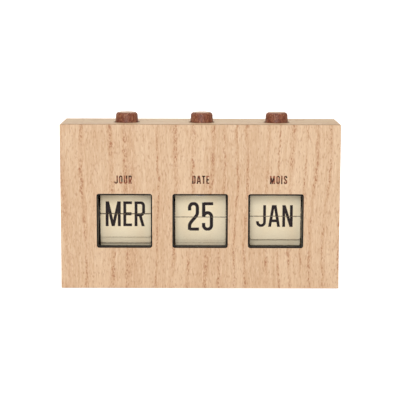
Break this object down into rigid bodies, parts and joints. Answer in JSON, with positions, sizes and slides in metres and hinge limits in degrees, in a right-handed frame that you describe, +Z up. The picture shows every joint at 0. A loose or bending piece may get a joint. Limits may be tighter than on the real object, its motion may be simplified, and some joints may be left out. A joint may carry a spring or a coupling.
{
  "type": "flip desk calendar",
  "caption": "Wooden desk calendar with day, date and month windows; pressing a button on top drops one leaf.",
  "frame": {"origin": "middle of the underside of the case, on the surface that it stands on", "axes": "+Z up, -Y out of the front with the windows, +X to the right as seen from the front"},
  "size_m": [0.2, 0.05, 0.1257],
  "materials": {
    "case_wood": "oiled light wood, open grain",
    "button_wood": "satin reddish brown wood",
    "black_bezel": "black, slight sheen",
    "black_chassis": "black, fine texture",
    "black_moulding": "black, moulded",
    "cream_leaf": "cream, matt, printed",
    "brass": "plain turned",
    "steel": "bright"
  },
  "bodies": {
    "case": {"front_panel": "case_wood", "top_panel": "case_wood", "bottom_panel": "case_wood", "left_panel": "case_wood", "right_panel": "case_wood", "back_panel": "case_wood", "back_screw_1": "steel", "back_screw_2": "steel", "back_screw_3": "steel", "back_screw_4": "steel", "day_bezel": "black_bezel", "day_chassis": "black_chassis", "day_chassis_screw": "steel", "day_axle": "steel", "day_return_spring": "steel", "day_detent_spring": "steel", "day_leaf_catch": "steel", "date_bezel": "black_bezel", "date_chassis": "black_chassis", "date_chassis_screw": "steel", "date_axle": "steel", "date_return_spring": "steel", "date_detent_spring": "steel", "date_leaf_catch": "steel", "month_bezel": "black_bezel", "month_chassis": "black_chassis", "month_chassis_screw": "steel", "month_axle": "steel", "month_return_spring": "steel", "month_detent_spring": "steel", "month_leaf_catch": "steel"},
    "day_plunger_body": {"day_button": "button_wood", "day_plunger": "black_moulding"},
    "day_arm_body": {"day_drive_arm": "steel"},
    "day_pawl_body": {"day_pawl": "brass"},
    "day_drum_body": {"day_drum": "black_moulding", "day_ratchet": "brass", "day_leaf_pack": "cream_leaf"},
    "day_top_leaf_body": {"day_top_leaf": "cream_leaf"},
    "day_front_leaf_body": {"day_front_leaf": "cream_leaf"},
    "date_plunger_body": {"date_button": "button_wood", "date_plunger": "black_moulding"},
    "date_arm_body": {"date_drive_arm": "steel"},
    "date_pawl_body": {"date_pawl": "brass"},
    "date_drum_body": {"date_drum": "black_moulding", "date_ratchet": "brass", "date_leaf_pack": "cream_leaf"},
    "date_top_leaf_body": {"date_top_leaf": "cream_leaf"},
    "date_front_leaf_body": {"date_front_leaf": "cream_leaf"},
    "month_plunger_body": {"month_button": "button_wood", "month_plunger": "black_moulding"},
    "month_arm_body": {"month_drive_arm": "steel"},
    "month_pawl_body": {"month_pawl": "brass"},
    "month_drum_body": {"month_drum": "black_moulding", "month_ratchet": "brass", "month_leaf_pack": "cream_leaf"},
    "month_top_leaf_body": {"month_top_leaf": "cream_leaf"},
    "month_front_leaf_body": {"month_front_leaf": "cream_leaf"}
  },
  "joints": [
    {"name": "day_press", "type": "slide", "parent": "case", "child": "day_plunger_body", "axis": [0, 0, -1], "range_m": [0, 0.00411], "stiffness_N_per_m": 400, "springref_m": -0.006, "deforming": ["day_return_spring", "day_leaf_catch", "day_detent_spring"]},
    {"name": "day_arm_swing", "type": "hinge", "parent": "case", "child": "day_arm_body", "pos_m": [-0.054, -0.0025, 0.0501], "axis": [1, 0, 0], "range_deg": [-0.5, 26.21]},
    {"name": "day_drum_step", "type": "hinge", "parent": "case", "child": "day_drum_body", "pos_m": [-0.054, -0.0025, 0.0501], "axis": [1, 0, 0], "range_deg": [-0.5, 26.21]},
    {"name": "day_leaf_fall", "type": "hinge", "parent": "day_drum_body", "child": "day_top_leaf_body", "pos_m": [-0.054, -0.0115, 0.05447], "axis": [1, 0, 0], "range_deg": [-0.5, 154.79]},
    {"name": "day_leaf_hang", "type": "hinge", "parent": "day_drum_body", "child": "day_front_leaf_body", "pos_m": [-0.054, -0.0125, 0.05013], "axis": [1, 0, 0], "range_deg": [-26.21, 0.5]},
    {"name": "day_pawl_lift", "type": "hinge", "parent": "day_arm_body", "child": "day_pawl_body", "pos_m": [-0.0307, 0.00595, 0.04076], "axis": [-1, 0, 0], "range_deg": [0, 10], "stiffness_Nm_per_rad": 0.002, "springref_deg": -17.19},
    {"name": "date_press", "type": "slide", "parent": "case", "child": "date_plunger_body", "axis": [0, 0, -1], "range_m": [0, 0.00295], "stiffness_N_per_m": 400, "springref_m": -0.006, "deforming": ["date_return_spring", "date_leaf_catch", "date_detent_spring"]},
    {"name": "date_arm_swing", "type": "hinge", "parent": "case", "child": "date_arm_body", "pos_m": [0.0003, -0.0025, 0.0501], "axis": [1, 0, 0], "range_deg": [-0.5, 12.11]},
    {"name": "date_drum_step", "type": "hinge", "parent": "case", "child": "date_drum_body", "pos_m": [0.0003, -0.0025, 0.0501], "axis": [1, 0, 0], "range_deg": [-0.5, 12.11]},
    {"name": "date_leaf_fall", "type": "hinge", "parent": "date_drum_body", "child": "date_top_leaf_body", "pos_m": [0.0003, -0.01245, 0.05111], "axis": [1, 0, 0], "range_deg": [-0.5, 168.89]},
    {"name": "date_leaf_hang", "type": "hinge", "parent": "date_drum_body", "child": "date_front_leaf_body", "pos_m": [0.0003, -0.01245, 0.04909], "axis": [1, 0, 0], "range_deg": [-12.11, 0.5]},
    {"name": "date_pawl_lift", "type": "hinge", "parent": "date_arm_body", "child": "date_pawl_body", "pos_m": [0.0236, 0.00568, 0.04052], "axis": [-1, 0, 0], "range_deg": [0, 10], "stiffness_Nm_per_rad": 0.002, "springref_deg": -17.19},
    {"name": "month_press", "type": "slide", "parent": "case", "child": "month_plunger_body", "axis": [0, 0, -1], "range_m": [0, 0.00429], "stiffness_N_per_m": 400, "springref_m": -0.006, "deforming": ["month_return_spring", "month_leaf_catch", "month_detent_spring"]},
    {"name": "month_arm_swing", "type": "hinge", "parent": "case", "child": "month_arm_body", "pos_m": [0.0546, -0.0025, 0.0501], "axis": [1, 0, 0], "range_deg": [-0.5, 30.5]},
    {"name": "month_drum_step", "type": "hinge", "parent": "case", "child": "month_drum_body", "pos_m": [0.0546, -0.0025, 0.0501], "axis": [1, 0, 0], "range_deg": [-0.5, 30.5]},
    {"name": "month_leaf_fall", "type": "hinge", "parent": "month_drum_body", "child": "month_top_leaf_body", "pos_m": [0.0546, -0.01196, 0.05334], "axis": [1, 0, 0], "range_deg": [-0.5, 150.5]},
    {"name": "month_leaf_hang", "type": "hinge", "parent": "month_drum_body", "child": "month_front_leaf_body", "pos_m": [0.0546, -0.01231, 0.04818], "axis": [1, 0, 0], "range_deg": [-30.5, 0.5]},
    {"name": "month_pawl_lift", "type": "hinge", "parent": "month_arm_body", "child": "month_pawl_body", "pos_m": [0.0779, 0.00282, 0.03868], "axis": [-1, 0, 0], "range_deg": [0, 10], "stiffness_Nm_per_rad": 0.002, "springref_deg": -17.19}
  ],
  "couplings": [
    {"joint": "day_arm_swing", "follows": "day_press", "rad_per_m": 109.24},
    {"joint": "day_drum_step", "follows": "day_press", "rad_per_m": 109.24},
    {"joint": "day_leaf_fall", "follows": "day_press", "rad_per_m": 655.44},
    {"joint": "day_leaf_hang", "follows": "day_press", "rad_per_m": -109.24},
    {"joint": "date_arm_swing", "follows": "date_press", "rad_per_m": 68.729},
    {"joint": "date_drum_step", "follows": "date_press", "rad_per_m": 68.729},
    {"joint": "date_leaf_fall", "follows": "date_press", "rad_per_m": 996.57},
    {"joint": "date_leaf_hang", "follows": "date_press", "rad_per_m": -68.729},
    {"joint": "month_arm_swing", "follows": "month_press", "rad_per_m": 122.13},
    {"joint": "month_drum_step", "follows": "month_press", "rad_per_m": 122.13},
    {"joint": "month_leaf_fall", "follows": "month_press", "rad_per_m": 610.66},
    {"joint": "month_leaf_hang", "follows": "month_press", "rad_per_m": -122.13}
  ]
}
